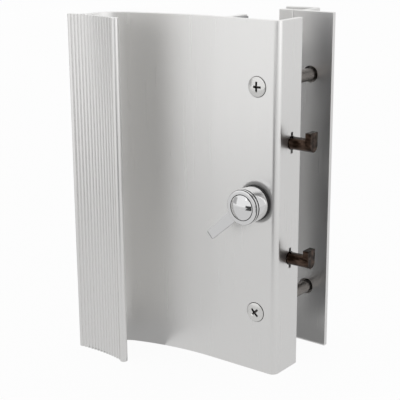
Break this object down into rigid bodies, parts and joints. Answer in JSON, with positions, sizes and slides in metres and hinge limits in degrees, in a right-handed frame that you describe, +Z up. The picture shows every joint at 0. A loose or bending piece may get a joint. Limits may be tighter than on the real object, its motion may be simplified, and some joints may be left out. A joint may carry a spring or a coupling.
{
  "type": "sliding patio door handle set",
  "caption": "Extruded interior pull with a reeded grip, a thumbturn lock driving hook bolts, and an extruded exterior pull, joined through the door stile by screws and barrel nuts.",
  "frame": {"origin": "on the exterior pull's seat face, midway between the two barrel nuts", "axes": "+X towards the door's lock edge, +Y from the room to the outside, +Z up along the extrusions"},
  "size_m": [0.1185, 0.0997, 0.1778],
  "materials": {
    "anodised_aluminium": "satin clear anodised extrusion, die lines along Z",
    "chassis_steel": "zinc plated pressed sheet steel",
    "bar_steel": "zinc plated strip steel",
    "bolt_bronze": "dark bronze phosphate, satin",
    "pin_steel": "plain steel",
    "knob_chrome": "polished chrome plate on a zinc casting",
    "screw_chrome": "bright nickel plate",
    "post_steel": "turned steel, nickel plated",
    "gasket_rubber": "black rubber"
  },
  "bodies": {
    "frame": {"interior_handle": "anodised_aluminium", "exterior_pull": "anodised_aluminium", "lock_chassis": "chassis_steel", "thumbturn_gasket": "gasket_rubber", "thumbturn_collar": "knob_chrome", "collar_nut": "pin_steel", "mounting_screw_upper": "screw_chrome", "mounting_screw_lower": "screw_chrome", "post_nut_upper": "post_steel", "post_nut_lower": "post_steel", "guide_rivet_upper": "pin_steel", "guide_rivet_lower": "pin_steel"},
    "thumbturn": {"thumbturn_lever": "knob_chrome", "thumbturn_cap": "knob_chrome", "thumbturn_spindle": "pin_steel", "drive_crank": "bar_steel"},
    "slide": {"slide_bar": "bar_steel"},
    "bolt_upper": {"hook_bolt_upper": "bolt_bronze", "cross_pin_upper": "pin_steel", "bolt_crank_upper": "bar_steel"},
    "bolt_lower": {"hook_bolt_lower": "bolt_bronze", "cross_pin_lower": "pin_steel", "bolt_crank_lower": "bar_steel"}
  },
  "joints": [
    {"name": "thumbturn_turn", "type": "hinge", "parent": "frame", "child": "thumbturn", "pos_m": [-0.0007, -0.0476, 0], "axis": [0, 1, 0], "range_deg": [0, 90]},
    {"name": "slide_bar_travel", "type": "slide", "parent": "frame", "child": "slide", "axis": [0, 0, 1], "range_m": [-0.00453, 0]},
    {"name": "bolt_upper_turn", "type": "hinge", "parent": "frame", "child": "bolt_upper", "pos_m": [0.012, -0.0351, 0.02935], "axis": [1, 0, 0], "range_deg": [0, 90]},
    {"name": "bolt_lower_turn", "type": "hinge", "parent": "frame", "child": "bolt_lower", "pos_m": [0.012, -0.0351, -0.02935], "axis": [1, 0, 0], "range_deg": [0, 90]}
  ],
  "couplings": [
    {"joint": "slide_bar_travel", "follows": "thumbturn_turn", "m_per_rad": -0.002881},
    {"joint": "bolt_upper_turn", "follows": "thumbturn_turn", "ratio": 1},
    {"joint": "bolt_lower_turn", "follows": "thumbturn_turn", "ratio": 1}
  ]
}
